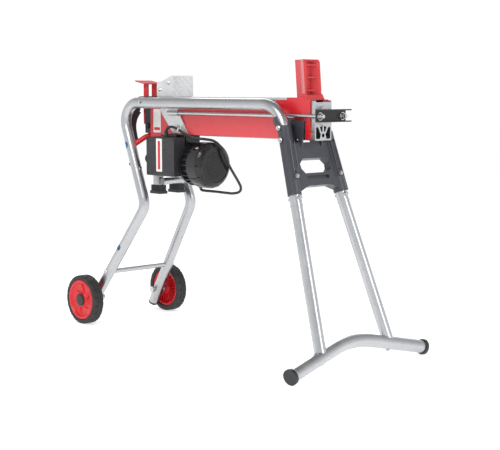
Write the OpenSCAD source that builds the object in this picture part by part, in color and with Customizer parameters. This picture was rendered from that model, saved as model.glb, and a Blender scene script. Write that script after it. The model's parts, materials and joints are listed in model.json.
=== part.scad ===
// Electric horizontal log splitter: a hydraulic ram pulls a pusher along a beam against a fixed wedge.
// Working coordinates: X = 0 is the pusher face at rest and +X runs towards the wedge, Y = 0 is the
// plane of symmetry with -Y the operator's side, and Z = 0 is the ground.
// placed() then moves the origin to the middle of the footprint.

/* [Table and beam] */
// Height of the log table above the ground
table_z = 800; // [790:1:810]
// Thickness of the table plate
table_t = 8; // [6:1:10]
// Half the width of the table plate
table_half = 37; // [34:1:37]
// Half the width of the beam
beam_half = 35.5; // [34:0.5:36]
// Height of the beam without its top lips
beam_h = 114; // [108:1:116]
// Rear end of the beam
beam_rear_x = -115; // [-118:1:-112]
// Wedge end of the beam
beam_front_x = 655; // [650:1:658]
// Distance from the pusher face to the wedge's edge
log_gap = 544; // [540:1:546]
// Travel of the pusher
stroke = 385; // [300:5:390]

/* [Frame] */
// Outside radius of the frame and leg tubes
tube_r = 18; // [17:0.5:18.5]
// Wall of the tubes
tube_wall = 2; // [1.5:0.5:3]
// Distance of each top rail from the middle plane
rail_y = 92; // [90:1:94]
// Height of the rail's centre under the table
rail_drop = 21.4; // [20:0.2:23]
// Distance of the wheel axles from the ground
axle_z = 86; // [86:1:86]

/* [Wheels] */
// Radius of the tyres
wheel_r = 86; // [84:1:86]
// Width of the tyres
wheel_w = 40; // [36:1:41]
// Distance of each wheel's outer face from the middle plane
wheel_y = 209; // [208:1:212]
// Radius of the axles
axle_r = 8; // [7:0.5:8]

/* [Front stand] */
// Radius of the foot bar
foot_r = 20; // [18:0.5:21]
// Radius of the foot caps
foot_cap_r = 24; // [23:0.5:26]

/* [Ram] */
// Distance of each tie rod from the middle plane
rod_y = 48.6; // [48.6:0.2:49.6]
// Height of the tie rods and the hydraulic cylinder
rod_z = 745; // [744:1:746]
// Radius of the tie rods
rod_r = 5.5; // [5:0.5:6]
// Radius of the cylinder bore in the beam
bore_r = 25; // [24:0.5:26]
// Radius of the piston rod
piston_rod_r = 14; // [12:0.5:15]

/* [Power unit] */
// Height of the motor's axis
motor_z = 574; // [572:1:576]
// Radius of the motor's fan cover
motor_r = 77; // [74:1:78]
// Teeth on each gear of the pump
pump_teeth = 12; // [12:1:12]

/* [Hidden] */
$fn = 64;
clear = 0.3;
run = 0.05;
hex = 6;
origin_x = 215.4;
seam_lap = 0.5;
seam_step = 0.04;

red = [0.78, 0.07, 0.10];
slate = [0.22, 0.23, 0.26];
dark = [0.08, 0.08, 0.09];
zinc = [0.72, 0.73, 0.74];
silver = [0.80, 0.81, 0.82];

rail_z = table_z - rail_drop;
beam_top = table_z - table_t - 6;
beam_bottom = beam_top - beam_h;
tube_inner = tube_r - tube_wall;

// Bent frame tube: front end in the bracket, front bend, rear bend, knee and wheel end
front_corner = [552, -78, rail_z];
sleeve_end = [641, -101.5, 495];
rear_corner = [-226, -rail_y, rail_z];
knee = [-79, -103, 428];
wheel_end = [-356, -148, 36];
rail_end = front_corner + (sleeve_end - front_corner) * 0.5;
frame_path = [rail_end, front_corner, rear_corner, knee, wheel_end];
frame_bends = [0, 105, 62, 50, 0];
axle_share = (knee.z - axle_z) / (knee.z - wheel_end.z);
axle_at = knee + (wheel_end - knee) * axle_share;
crossbar_share = 0.615;

// Front legs and the arched foot bar
leg_top = front_corner + (sleeve_end - front_corner) * 0.8;
leg_foot = [794.5, -149.8, 55.5];
leg_path = [leg_top, sleeve_end, leg_foot];
leg_bends = [0, 150, 0];
foot_path = [[813, -290, 24.7], [775.5, 0, 87.3], [813, 290, 24.7]];
foot_bends = [0, 340, 0];

// Thin tube that carries the rear of the beam between the two frame tubes
support_r = 9;
support_z = beam_bottom - support_r - 0.2;
support_path = [[-163, -97, 628], [-142, -46, support_z], [-142, 46, support_z], [-163, 97, 628]];
block_z = [beam_bottom + 2, beam_top - 8];

// Pusher and its cheeks
head_half = 46;
head_back = -82;
head_top = 870;
head_sheet = 3;
cheek_in = 38.5;
cheek_t = 4;
boss_x = [-18, 36];
yoke_x = 683;
yoke_half = 63.5;
yoke_z = [728, 766];
yoke_depth = 28;
yoke_t = 4;

// Wedge and its saddle
wedge_h = 114;
wedge_back = 614;
wedge_half = 36;
wedge_wall = 6;
wedge_ribs = [19, 58, 95];
wedge_mid_x = 574;
wedge_mid_y = 9;
wedge_lean = 5;
saddle_in = 35.8;
saddle_t = 4;

// Bracket casting
bracket_tilt = atan((sleeve_end.x - front_corner.x) / (front_corner.z - sleeve_end.z));
bracket_z = 590;
casting_x = [-12.7, 15.3];

// Valve, lever and their pin
block_x = [-162, -115.5];
spool_z = 715;
spool_r = 8;
pin_at = [-176, 0, 765];
pin_r = 5;
lever_flange = 16;
lever_t = 3.5;

// Motor and pump
motor_x = [60, 120];
shaft_r = 8;
gear_m = 2.5;
gear_pitch_r = gear_m * pump_teeth / 2;
gear_gap = 2 * gear_pitch_r + 0.4;
gear_w = 24;
pump_x = [-60, 59.9];
gear_x = -28;

// Switch box
box_x = [-90, 57];
box_y = [-88, -40];
box_z = [534, 664];

// Motor lead, from the gland on top of the switch box over the motor to the gland under it
lead_r = 4.5;
lead_route = [
    [-15, -62, 684], [-8, -61, 694], [8, -60, 699], [30, -58, 695], [56, -54, 684], [84, -46, 672],
    [112, -34, 663], [138, -18, 660], [159, 0, 654], [173, 16, 636], [178, 32, 606], [177, 50, 574],
    [176, 72, 544], [174, 96, 514], [170, 110, 494], [162, 112, 481], [150, 98, 475], [138, 74, 477],
    [126, 48, 481], [114, 26, 484], [102, 10, 486], [92, 2, 489], [90, 0, 494]
];

// ---- Helpers ----

function unit(v) = v / norm(v);
function flip(v) = [v.x, -v.y, v.z];
function axes(ex, ey, ez, o) = [
    [ex.x, ey.x, ez.x, o.x],
    [ex.y, ey.y, ez.y, o.y],
    [ex.z, ey.z, ez.z, o.z],
    [0, 0, 0, 1]
];
function beside(d) = unit(cross(d, abs(d.z) > 0.9 ? [1, 0, 0] : [0, 0, 1]));
function turn(a, b) = acos(a * b);
function into(p, i) = unit(p[i] - p[i - 1]);
function out_of(p, i) = unit(p[i + 1] - p[i]);
function trim(p, r, i) = (i == 0 || i == len(p) - 1) ? 0
    : r[i] * tan(turn(into(p, i), out_of(p, i)) / 2);

module placed() {
    translate([-origin_x, 0, 0]) children();
}

module both_sides() {
    children();
    mirror([0, 1, 0]) children();
}

// Puts its children's +Z along the line from p to q, starting at p
module along(p, q) {
    d = unit(q - p);
    s = beside(d);
    multmatrix(axes(s, cross(d, s), d, p)) children();
}

module rod_between(p, q, r) {
    along(p, q) cylinder(h = norm(q - p), r = r);
}

// A round bar along the corners p with the bend radii r. The straights are a hair thicker than the
// bends and lap into them, so that the seams are clean.
module bent_bar(p, r, radius, over) {
    last = len(p) - 2;
    for (i = [0 : last]) {
        d = out_of(p, i);
        a = p[i] + d * (trim(p, r, i) - (i == 0 ? over : seam_lap));
        b = p[i + 1] - d * (trim(p, r, i + 1) - (i == last ? over : seam_lap));
        rod_between(a, b, radius + seam_step);
    }
    for (i = [1 : last]) {
        a = into(p, i);
        b = out_of(p, i);
        n = unit(b - a * (a * b));
        c = p[i] - a * trim(p, r, i) + n * r[i];
        multmatrix(axes(-n, a, cross(-n, a), c))
            rotate_extrude(angle = turn(a, b)) translate([r[i], 0]) circle(r = radius);
    }
}

module bent_tube(p, r) {
    difference() {
        bent_bar(p, r, tube_r, 0);
        bent_bar(p, r, tube_inner, 1);
    }
}

// A plate with its outline in the X-Z plane, from y = a to y = b
module plate_xz(outline, a, b) {
    translate([0, b, 0]) rotate([90, 0, 0]) linear_extrude(b - a) polygon(outline);
}

// A plate with its outline in the Y-Z plane, from x = a to x = b
module plate_yz(outline, a, b) {
    translate([a, 0, 0]) rotate([90, 0, 90]) linear_extrude(b - a) polygon(outline);
}

module box(lo, hi) {
    translate(lo) cube(hi - lo);
}

// A hexagon bolt whose head sits at p and points along d
module bolt(p, d, head_r = 7, shank_r = 4, depth = 8) {
    along(p, p + d) {
        cylinder(h = 1.6, r = head_r * 1.3);
        cylinder(h = 1.6 + head_r * 0.75, r = head_r, $fn = hex);
    }
    rod_between(p - unit(d) * depth, p + unit(d), shank_r);
}

module bolt_hole(p, d, shank_r = 4, depth = 9) {
    rod_between(p - unit(d) * depth, p + unit(d) * 2, shank_r + clear);
}

// ---- Frame ----

// Front sleeves: points on their axis, and directions square to it
sleeve_dir = unit(sleeve_end - front_corner);
function on_sleeve(z) = front_corner + sleeve_dir * (front_corner.z - z) / -sleeve_dir.z;
function square_to(v, d) = unit(v - d * (v * d));
sleeve_front = square_to([1, 0, 0], sleeve_dir);
sleeve_r = 21.5;
sleeve_z = [712, 511];
sleeve_bolt_z = [708, 672];
strip_z = [665, 563];
strip_face = 22;
clamp_z = 502;
ear_y = [-45.5, -40.2];
ear_bolt = [590.5, ear_y[0] - 0.1, 672];
ridge_top = 24;

module frame_tube() {
    difference() {
        bent_tube(frame_path, frame_bends);
        rod_between(axle_at - [0, 40, 0], axle_at + [0, 40, 0], axle_r + run);
    }
}

module frame_tube_near() placed() color(silver) frame_tube();
module frame_tube_far() placed() color(silver) mirror([0, 1, 0]) frame_tube();

// The ends are coped to the frame tubes, and a saddle on top carries the valve block
module rear_support() placed() color(red) {
    difference() {
        bent_bar(support_path, [0, 22, 22, 0], support_r, 0);
        both_sides() rod_between(rear_corner, knee, tube_r + 0.1);
    }
    box([-160, -26, support_z + support_r - 1.5], [-122, 26, block_z[0] - 0.1]);
}

guard_bend = frame_bends[2];
guard_c = [rear_corner.x + trim(frame_path, frame_bends, 2), rail_z - guard_bend];
guard_r = guard_bend + tube_r + 4;
guard_flat = 36;
guard_leg = 42;
guard_half = 72;
arch_half = 43;
arch_z = 640;
arch_rise = 110;
lever_gap = 23;

// Curved sheet between the frame tubes round the rear bend, cut to an arch below and slotted for the lever
module rear_guard() placed() color(slate) {
    leg_dir = unit([knee.x - rear_corner.x, knee.z - rear_corner.z]);
    out = [leg_dir.y, -leg_dir.x];
    near_r = guard_r - head_sheet - seam_step;
    far_r = guard_r + seam_step;
    difference() {
        union() {
            plate_xz([
                guard_c + [-seam_lap, near_r], guard_c + [guard_flat, near_r], guard_c + [guard_flat, far_r],
                guard_c + [-seam_lap, far_r]
            ], -guard_half, guard_half);
            plate_xz([
                guard_c + out * near_r - leg_dir * seam_lap, guard_c + out * far_r - leg_dir * seam_lap,
                guard_c + out * far_r + leg_dir * guard_leg, guard_c + out * near_r + leg_dir * guard_leg
            ], -guard_half, guard_half);
            translate([guard_c.x, guard_half, guard_c.y]) rotate([90, 0, 0])
                linear_extrude(2 * guard_half) intersection() {
                    difference() {
                        circle(r = guard_r);
                        circle(r = guard_r - head_sheet);
                    }
                    polygon([[0, 0], [0, 200], [-400, 200], [-400, -200], out * 420]);
                }
        }
        plate_yz(concat(
            [[arch_half, arch_z - 100]],
            [for (w = [0 : 12 : 180]) [arch_half * cos(w), arch_z + arch_rise * sin(w)]],
            [[-arch_half, arch_z - 100]]
        ), -300, -140);
        box([-212, -lever_gap, 735], [-150, lever_gap, 820]);
    }
}

module axle_crossbar() placed() color(silver) {
    p = knee + (wheel_end - knee) * crossbar_share;
    difference() {
        rod_between(p, flip(p), support_r);
        both_sides() rod_between(knee, wheel_end, tube_r + 0.1);
    }
}

module tube_plugs() placed() color(dark) both_sides() {
    d = unit(wheel_end - knee);
    rod_between(wheel_end + d * 0.2, wheel_end + d * 8, tube_r);
    rod_between(wheel_end - d * 14, wheel_end + d, tube_inner - 0.2);
    plug = rear_corner + (knee - rear_corner) * 0.58;
    back = square_to([-1, -0.3, 0], out_of(frame_path, 2));
    rod_between(plug + back * (tube_r + 0.1), plug + back * (tube_r + 4), 5.5);
}

// Shoulder bolts that carry the wheels, with a collar against the tube and a nut inside
module wheel_axles() placed() color(zinc) both_sides() {
    inner_y = axle_at.y + tube_r + 6;
    hub_y = -wheel_y + wheel_w - 4;
    translate([axle_at.x, 0, axle_z]) rotate([90, 0, 0]) {
        translate([0, 0, -inner_y]) cylinder(h = wheel_y - 9 + inner_y, r = axle_r);
        translate([0, 0, -axle_at.y + tube_r + 1.5]) cylinder(h = -hub_y + axle_at.y - tube_r - 2, r = 13);
        translate([0, 0, -inner_y - 9]) cylinder(h = 11, r = 12, $fn = hex);
    }
}

// ---- Wheels ----

rim_r = 66;

module at_wheel() {
    translate([axle_at.x, 0, axle_z]) rotate([90, 0, 0]) translate([0, 0, wheel_y - wheel_w]) children();
}

// Local +Z points out of the machine and 0 is the tyre's inner face
module rim() difference() {
    union() {
        rotate_extrude() polygon([
            [axle_r + run, 4], [22, 4], [22, 20], [54, 20], [60, 5], [rim_r - 0.1, 5], [rim_r - 0.1, 34],
            [70, 36], [70, 40], [62, 41], [56, 34], [30, 31], [24, 38], [axle_r + run, 38]
        ]);
        for (k = [0 : 11]) {
            rotate([0, 0, k * 30]) translate([21, -1.5, 9]) cube([37, 3, 12]);
        }
        for (k = [0 : 5]) {
            rotate([0, 0, k * 60]) translate([42, 12, 32]) rotate_extrude(angle = 105, start = 205)
                translate([19, 0]) circle(r = 4);
        }
    }
    translate([0, 0, -1]) cylinder(h = 60, r = axle_r + run);
}

module tyre() rotate_extrude() polygon([
    [rim_r, 5], [70, 0.5], [82, 0], [wheel_r - 1, 2], [wheel_r, 6], [wheel_r, 13], [wheel_r - 2, 14],
    [wheel_r - 2, 16], [wheel_r, 17], [wheel_r, 23], [wheel_r - 2, 24], [wheel_r - 2, 26],
    [wheel_r, 27], [wheel_r, 34], [wheel_r - 1, 38], [82, 39.8], [72, 39.8], [70.3, 38.5], [70.3, 35.9],
    [rim_r, 33.8]
]);

module wheel_rim_near() placed() color(red) at_wheel() rim();
module wheel_tyre_near() placed() color(dark) at_wheel() tyre();
module wheel_rim_far() placed() color(red) mirror([0, 1, 0]) at_wheel() rim();
module wheel_tyre_far() placed() color(dark) mirror([0, 1, 0]) at_wheel() tyre();

module hub_caps() placed() color(dark) both_sides() at_wheel() difference() {
    rotate_extrude() polygon([[0, 38.4], [22, 38.4], [22, 42], [18, 45], [0, 46]]);
    translate([0, 0, 30]) cylinder(h = 10, r = axle_r + 0.1);
}

// ---- Front bracket and stand ----

// Tilts a plate drawn in Y-Z so that it follows the sleeves
module tilted() {
    translate([on_sleeve(bracket_z).x, 0, bracket_z]) rotate([0, -bracket_tilt, 0]) children();
}

// +X to the front, square to the sleeve, and +Z up along it
module on_strip(z) {
    multmatrix(axes(sleeve_front, cross(-sleeve_dir, sleeve_front), -sleeve_dir, on_sleeve(z))) children();
}

// Hatched pad down the front of each sleeve, with a round boss at its foot
module strip() {
    pad = (strip_z[0] - strip_z[1]) / -sleeve_dir.z;
    on_strip(strip_z[1]) difference() {
        union() {
            box([8, -10, 0], [strip_face, 10, pad]);
            rotate([0, 90, 0]) cylinder(h = strip_face, r = 12);
        }
        for (k = [0 : 8]) {
            translate([strip_face, 0, 16 + k * 10.5]) rotate([38, 0, 0]) cube([2.4, 40, 3.5], center = true);
        }
    }
}

module bracket() {
    rail_share = front_corner + (rear_corner - front_corner) * 0.3;
    difference() {
        union() {
            rod_between(on_sleeve(sleeve_z[0]), on_sleeve(sleeve_z[1]), sleeve_r);
            hull() {
                rod_between(on_sleeve(738) - [16, 0, 0], on_sleeve(700), sleeve_r - 0.5, $fn = 32);
                rod_between(on_sleeve(732) + [6, 12, 0], on_sleeve(700) + [4, 10, 0], 12, $fn = 32);
            }
            on_strip(sleeve_z[1]) {
                translate([12, -17.5, 0]) cylinder(h = 190, r = 4);
                translate([-4, -20.5, 0]) cylinder(h = 190, r = 3);
            }
            strip();
            tilted() box([-12, -76, 75], [-4, ear_y[0] + 1, 136]);
            plate_xz([[548, 735], [619, 731], [609, 652], [562, 652]], ear_y[0], ear_y[1]);
        }
        bent_bar([on_sleeve(600), front_corner, rail_share], frame_bends, tube_r + clear, 0);
        rod_between(on_sleeve(606), on_sleeve(480), tube_r + clear);
        for (z = sleeve_bolt_z) {
            out = square_to([0, -1, 0], sleeve_dir);
            bolt_hole(on_sleeve(z) + out * ridge_top, out, 4, 7);
        }
        bolt_hole(on_sleeve(strip_z[1]) + sleeve_front * strip_face, sleeve_front, 2.5, 3);
        bolt_hole(ear_bolt, [0, -1, 0], 2.5, 4);
    }
}

module bracket_near() placed() color(slate) bracket();
module bracket_far() placed() color(slate) mirror([0, 1, 0]) bracket();

hand_hole = [[-50, 24.5], [50, 24.5], [66, 9], [64, -6], [50, -20.5], [-50, -20.5], [-64, -6], [-66, 9]];

// Front plate between the sleeves, with a hand hole, a hollow behind its top edge and a slot
module bracket_plate() placed() color(slate) difference() {
    tilted() difference() {
        plate_yz([
            [-84, 74.8], [84, 74.8], [97, -78], [84, -73.5], [48, -59.3], [-48, -59.3], [-84, -73.5], [-97, -78]
        ], casting_x[0], casting_x[1]);
        plate_yz(hand_hole, -30, 30);
        box([-30, -56, 34], [casting_x[1] - 8, 56, 68]);
        box([casting_x[1] - 7, -48, -39.4], [30, 48, -28.9]);
    }
    both_sides() rod_between(on_sleeve(720), on_sleeve(480), sleeve_r + 0.1);
    both_sides() on_strip(strip_z[1]) {
        rotate([0, 90, 0]) cylinder(h = 40, r = 12.1);
        box([8, -10.1, 0], [40, 10.1, 130]);
    }
    both_sides() on_strip(sleeve_z[1]) translate([12, -17.5, -20]) cylinder(h = 230, r = 4.1);
    both_sides() box([550, ear_y[0] - 0.1, 651.9], [625, ear_y[1] + 0.1, 700]);
}

module front_leg() {
    difference() {
        union() {
            bent_tube(leg_path, leg_bends);
            difference() {
                d = out_of(leg_path, 1);
                rod_between(sleeve_end + d * 12, sleeve_end + d * 16, tube_r + 1.5);
                rod_between(sleeve_end + d * 8, sleeve_end + d * 20, tube_r - 0.5);
            }
        }
        bent_bar(foot_path, foot_bends, foot_r + 0.2, 0);
        rod_between(on_sleeve(clamp_z) - sleeve_front * 40, on_sleeve(clamp_z) + sleeve_front * 40, 4.2);
    }
}

module leg_near() placed() color(silver) front_leg();
module leg_far() placed() color(silver) mirror([0, 1, 0]) front_leg();

module foot_bar() placed() color(silver) difference() {
    bent_bar(foot_path, foot_bends, foot_r, 0);
    bent_bar(foot_path, foot_bends, foot_r - tube_wall, 1);
}

module foot_caps() placed() color(dark) both_sides() {
    d = unit(foot_path[0] - foot_path[1]);
    e = foot_path[0];
    difference() {
        rod_between(e - d * 4, e + d * 6, foot_cap_r);
        rod_between(e - d * 30, e + d * 0.2, foot_r + 0.2);
        box([700, -400, -50], [900, -200, 0]);
    }
}

// Bolts of the bracket and the stand
module frame_bolts() placed() color(zinc) both_sides() {
    out = square_to([0, -1, 0], sleeve_dir);
    for (z = sleeve_bolt_z) {
        bolt(on_sleeve(z) + out * (ridge_top + 0.2), out, 6, 4, 5.5);
    }
    bolt(on_sleeve(strip_z[1]) + sleeve_front * (strip_face + 0.1), sleeve_front, 5, 2.5, 2.5);
    bolt(ear_bolt, [0, -1, 0], 4, 2.5, 3.5);
    c = on_sleeve(clamp_z);
    rod_between(c - sleeve_front * 24, c + sleeve_front * 24, 4);
    for (k = [-1, 1]) {
        bolt(c + sleeve_front * k * (tube_r + 0.6), sleeve_front * k, 6, 4, 2);
    }
    under = square_to([0, 0, -1], out_of(foot_path, 0));
    bolt(foot_path[0] + (foot_path[1] - foot_path[0]) * 0.483 + under * (foot_r + 0.3), under, 5, 3, -0.5);
    front = square_to([1, 0, 0], out_of(frame_path, 2));
    bolt(rear_corner + (knee - rear_corner) * 0.655 + front * (tube_r + 0.3), front, 5, 3, -0.5);
    wheel_dir = unit(wheel_end - knee);
    side = square_to([0, -1, 0], wheel_dir);
    bolt(knee + (wheel_end - knee) * crossbar_share + side * (tube_r + 0.3), side, 6, 4, -0.5);
}

// ---- Beam ----

// Aluminium extrusion: cylinder bore, tank chambers and two lips on top
module beam_profile() placed() color(zinc) difference() {
    plate_yz([
        [-beam_half + 3, beam_bottom], [beam_half - 3, beam_bottom], [beam_half, beam_bottom + 3],
        [beam_half, beam_top + 3], [beam_half - 2, beam_top + 5.7], [beam_half - 5, beam_top],
        [-beam_half + 5, beam_top], [-beam_half + 2, beam_top + 5.7], [-beam_half, beam_top + 3],
        [-beam_half, beam_bottom + 3]
    ], beam_rear_x, beam_front_x);
    translate([beam_rear_x - 1, 0, rod_z]) rotate([0, 90, 0]) cylinder(h = 900, r = bore_r);
    translate([beam_rear_x - 1, 0, beam_bottom + 15]) rotate([0, 90, 0]) cylinder(h = 900, r = 6);
    for (s = [-1, 1]) {
        plate_yz([
            [s * 31, beam_bottom + 5], [s * 14, beam_bottom + 5], [s * 10, beam_bottom + 18],
            [s * 22, beam_bottom + 40], [s * 31, beam_bottom + 40]
        ], beam_rear_x - 1, beam_front_x + 1);
        plate_yz([
            [s * 3, beam_bottom + 26], [s * 8, beam_bottom + 26], [s * 15, beam_bottom + 41],
            [s * 3, beam_bottom + 43]
        ], beam_rear_x - 1, beam_front_x + 1);
    }
}

module table_plate() placed() color(zinc) {
    box([-95, -table_half, table_z - table_t + 0.05], [537, table_half, table_z]);
}

// Sheet panels on both flanks of the beam
module side_panels() placed() color(red) both_sides() plate_xz([
    [-130, beam_bottom - 10], [-75, beam_bottom - 10], [-68, beam_bottom + 2], [548, beam_bottom + 2],
    [548, 727], [521, 756], [488, beam_top], [-130, beam_top]
], -beam_half - 1.8, -beam_half - 0.1);

// ---- Wedge ----

function wedge_at(x) = wedge_mid_y + (x - wedge_mid_x) * (wedge_half - wedge_mid_y) / (wedge_back - wedge_mid_x);

module wedge_outline() polygon([
    [log_gap, 0], [wedge_mid_x, -wedge_mid_y], [wedge_back, -wedge_half],
    [wedge_back, wedge_half], [wedge_mid_x, wedge_mid_y]
]);

// The hollow inside the rear facets, from x = a to x = b
module wedge_hollow(a, b, grow) polygon([
    [a, -wedge_at(a) + wedge_wall - grow], [b, -wedge_at(b) + wedge_wall - grow],
    [b, wedge_at(b) - wedge_wall + grow], [a, wedge_at(a) - wedge_wall + grow]
]);

// Cast wedge: two facets a side, open at the back with ribs across the hollow
module wedge() placed() color(red) {
    hollow_x = wedge_mid_x + 12;
    difference() {
        union() {
            intersection() {
                multmatrix([[1, 0, -tan(wedge_lean), table_z * tan(wedge_lean)], [0, 1, 0, 0], [0, 0, 1, 0]])
                    translate([0, 0, table_z]) linear_extrude(wedge_h) wedge_outline();
                plate_xz([
                    [400, table_z], [wedge_back - 2, table_z], [wedge_back - 2, table_z + wedge_h - 18],
                    [wedge_back - 14, table_z + wedge_h], [400, table_z + wedge_h]
                ], -60, 60);
            }
            plate_xz([
                [wedge_back - 16, table_z], [wedge_back + 7, table_z], [wedge_back + 7, table_z + 4],
                [wedge_back, table_z + 12], [wedge_back - 16, table_z + 12]
            ], -wedge_half, wedge_half);
        }
        translate([0, 0, table_z + 8]) linear_extrude(wedge_h - 14) wedge_hollow(hollow_x, wedge_back + 40, 0);
    }
    for (z = wedge_ribs) {
        translate([0, 0, table_z + z]) linear_extrude(4) wedge_hollow(hollow_x - 2, wedge_back - 10, 1);
    }
}

// Folded saddle that carries the wedge on the beam's end
module wedge_saddle() placed() color(red) {
    box([541, -saddle_in - saddle_t, beam_top + 6.1], [621, saddle_in + saddle_t, table_z - 0.1]);
    both_sides() plate_xz([
        [490, beam_top + 6], [524, 758], [551, 729], [619, 729], [619, 674], [638, 674],
        [638, beam_top + 8], [541, beam_top + 8], [541, beam_top + 6]
    ], -saddle_in - saddle_t, -saddle_in);
}

// ---- Cylinder and ram ----

module rod_gland() placed() color(zinc) translate([0, 0, rod_z]) rotate([0, 90, 0]) difference() {
    union() {
        translate([0, 0, beam_front_x - 24]) cylinder(h = 24, r = bore_r - 0.1);
        translate([0, 0, beam_front_x + 0.1]) cylinder(h = 10, r = bore_r + 5);
    }
    translate([0, 0, beam_front_x - 40]) cylinder(h = 80, r = piston_rod_r + run);
}

piston_x = 232;

module piston_rod() placed() color(zinc) translate([0, 0, rod_z]) rotate([0, 90, 0]) difference() {
    translate([0, 0, piston_x - 6]) cylinder(h = yoke_x - piston_x + 6 - 0.1, r = piston_rod_r);
    translate([0, 0, piston_x - 7]) cylinder(h = 28, r = 6);
}

module piston() placed() color(dark) translate([0, 0, rod_z]) rotate([0, 90, 0]) {
    rotate_extrude() polygon([
        [0, piston_x - 32], [bore_r - run, piston_x - 32], [bore_r - run, piston_x - 22],
        [bore_r - 2, piston_x - 22], [bore_r - 2, piston_x - 16], [bore_r - run, piston_x - 16],
        [bore_r - run, piston_x - 6.2], [5.8, piston_x - 6.2], [5.8, piston_x + 20], [0, piston_x + 20]
    ]);
}

// Tread-plate head: a folded front and two flanks
module pusher_head() placed() color(zinc) {
    box([-head_sheet, -head_half, table_z + 1], [0, head_half, head_top]);
    both_sides() plate_xz([
        [-head_sheet, table_z + 1], [-head_sheet, head_top], [-60, 850], [head_back, 850],
        [head_back, table_z + 1]
    ], -head_half, -head_half + head_sheet);
}

head_bolts = [[-22, 846], [-68, 823]];

// Carriage cheeks: they straddle the beam and take the tie rods
module pusher_cheeks() placed() color(zinc) both_sides() difference() {
    plate_xz([
        [-4, 842], [-4, 800], [21, 760], [73, 678], [-2, 678], [-60, 740], [-78, 772], [-78, 842]
    ], -cheek_in - cheek_t, -cheek_in);
    for (b = head_bolts) {
        bolt_hole([b.x, -head_half, b.y], [0, -1, 0], 3, 12);
    }
}

module pusher_bolts() placed() color(zinc) both_sides() {
    for (b = head_bolts) {
        bolt([b.x, -head_half - 0.05, b.y], [0, -1, 0], 5, 2.9, -0.5);
    }
}

module rod_bosses() placed() color(zinc) both_sides() {
    difference() {
        translate([boss_x[0], -rod_y, rod_z]) rotate([0, 90, 0]) cylinder(h = boss_x[1] - boss_x[0], r = 9);
        box([-100, -cheek_in - cheek_t - 0.05, 600], [200, 0, 900]);
        translate([0, -rod_y, rod_z]) rotate([0, 90, 0]) cylinder(h = 100, r = rod_r + 0.1);
    }
}

module tie_rods() placed() color(zinc) both_sides() {
    translate([8, -rod_y, rod_z]) rotate([0, 90, 0]) cylinder(h = yoke_x + yoke_t + 16 - 8, r = rod_r);
}

// Channel outside the beam's end that joins the piston rod to the two tie rods
module yoke() placed() color(dark) difference() {
    box([yoke_x, -yoke_half, yoke_z[0]], [yoke_x + yoke_depth, yoke_half, yoke_z[1]]);
    box([yoke_x + yoke_t, -yoke_half - 1, yoke_z[0] + yoke_t], [yoke_x + 60, yoke_half + 1, yoke_z[1] - yoke_t]);
    both_sides() translate([yoke_x - 1, -rod_y, rod_z]) rotate([0, 90, 0]) cylinder(h = 10, r = rod_r + 0.1);
}

module yoke_nut(y, r, nut_r) {
    translate([yoke_x + yoke_t, y, rod_z]) rotate([0, 90, 0]) difference() {
        union() {
            translate([0, 0, 0.1]) cylinder(h = 2, r = nut_r * 1.35);
            translate([0, 0, 0.1]) cylinder(h = 9, r = nut_r, $fn = hex);
        }
        translate([0, 0, -1]) cylinder(h = 20, r = r + 0.05);
    }
}

module yoke_nuts() placed() color(zinc) {
    both_sides() yoke_nut(-rod_y, rod_r, 9);
}

// ---- Valve and lever ----

module valve_block() placed() color(slate) difference() {
    union() {
        box([block_x[0], -beam_half, block_z[0]], [block_x[1], beam_half, block_z[1] + 2]);
        box([-188, -12, 752], [block_x[0] + 1, 12, 778]);
    }
    translate([pin_at.x, 30, pin_at.z]) rotate([90, 0, 0]) cylinder(h = 60, r = pin_r + run);
    translate([-170, 0, spool_z]) rotate([0, 90, 0]) cylinder(h = 50, r = spool_r + run);
    translate([-130, 24, 750]) cylinder(h = 40, r = 4.1);
    translate([-145, -beam_half, 700]) rotate([90, 0, 0]) cylinder(h = 24, r = 6, center = true);
}

module valve_spool() placed() color(red) {
    translate([-173, 0, spool_z]) rotate([0, 90, 0]) cylinder(h = 36, r = spool_r);
    translate([-173, 0, spool_z]) sphere(r = spool_r - 0.02);
}

spring_turns = 4;
spring_steps = 10;
spring_x = [-135.9, -121];
spring_r = 5;
wire_r = 0.8;
wire_sides = 6;

// A tube of round section through the points p, with flat ends
function ring_dir(p, i) = unit(p[min(i + 1, len(p) - 1)] - p[max(i - 1, 0)]);
function ring_side(p, i, up) = unit(cross(ring_dir(p, i), up));
module tube_through(p, r, sides, up) {
    n = len(p);
    points = [
        for (i = [0 : n - 1], k = [0 : sides - 1])
            let (d = ring_dir(p, i), s = ring_side(p, i, up), t = cross(d, s), w = 360 * k / sides)
                p[i] + r * (cos(w) * s + sin(w) * t)
    ];
    walls = [
        for (i = [0 : n - 2], k = [0 : sides - 1])
            let (a = i * sides + k, b = i * sides + (k + 1) % sides)
                each [[a, a + sides, b + sides], [a, b + sides, b]]
    ];
    ends = [[for (k = [0 : sides - 1]) k], [for (k = [sides - 1 : -1 : 0]) (n - 1) * sides + k]];
    polyhedron(points = points, faces = concat(walls, ends));
}

module spool_spring() placed() color(zinc) tube_through([
    for (i = [0 : spring_turns * spring_steps])
        let (w = 360 * i / spring_steps, f = i / (spring_turns * spring_steps))
            [spring_x[0] + (spring_x[1] - spring_x[0]) * f, spring_r * cos(w), spool_z + spring_r * sin(w)]
], wire_r, wire_sides, [1, 0, 0]);

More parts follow.
